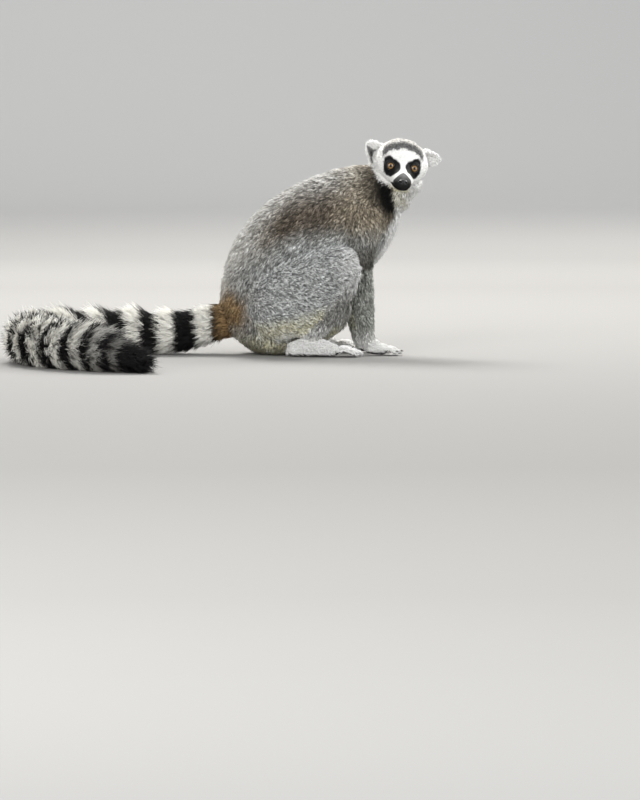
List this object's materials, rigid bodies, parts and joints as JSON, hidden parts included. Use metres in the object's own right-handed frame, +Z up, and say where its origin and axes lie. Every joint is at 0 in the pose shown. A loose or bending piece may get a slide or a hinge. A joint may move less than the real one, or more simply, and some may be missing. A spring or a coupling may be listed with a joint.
{
  "type": "ring_tailed_lemur",
  "caption": "Life-size still model of a ring-tailed lemur sitting on its haunches with its hands on the floor, head turned to its right and ringed tail laid out behind it.",
  "frame": {"origin": "centre of the flat under the haunches, on the floor plane", "axes": "right-handed metres: +X the way the body faces, +Y the animal's left, +Z up"},
  "size_m": [0.5585, 0.4379, 0.2812],
  "materials": {
    "coat_brown_grey": "matte",
    "coat_grey": "matte",
    "coat_white": "matte",
    "coat_dark_grey": "matte",
    "coat_black": "matte",
    "muzzle_skin": "matte",
    "nose_leather": "satin",
    "eye_amber": "gloss",
    "nail_dark": "satin"
  },
  "bodies": {
    "root": {"head": "coat_white", "muzzle": "muzzle_skin", "nose": "nose_leather", "eye_left": "eye_amber", "eye_right": "eye_amber", "ear_left": "coat_white", "ear_right": "coat_white", "neck": "coat_dark_grey", "chest": "coat_grey", "loin": "coat_brown_grey", "rump": "coat_brown_grey", "upper_arm_left": "coat_grey", "forearm_left": "coat_grey", "hand_left": "coat_white", "thigh_left": "coat_grey", "shank_left": "coat_grey", "foot_left": "coat_white", "upper_arm_right": "coat_grey", "forearm_right": "coat_grey", "hand_right": "coat_white", "thigh_right": "coat_grey", "shank_right": "coat_grey", "foot_right": "coat_white", "tail_1": "coat_black", "tail_2": "coat_black", "tail_3": "coat_black", "tail_4": "coat_black", "tail_5": "coat_black", "tail_6": "coat_black"}
  },
  "joints": []
}
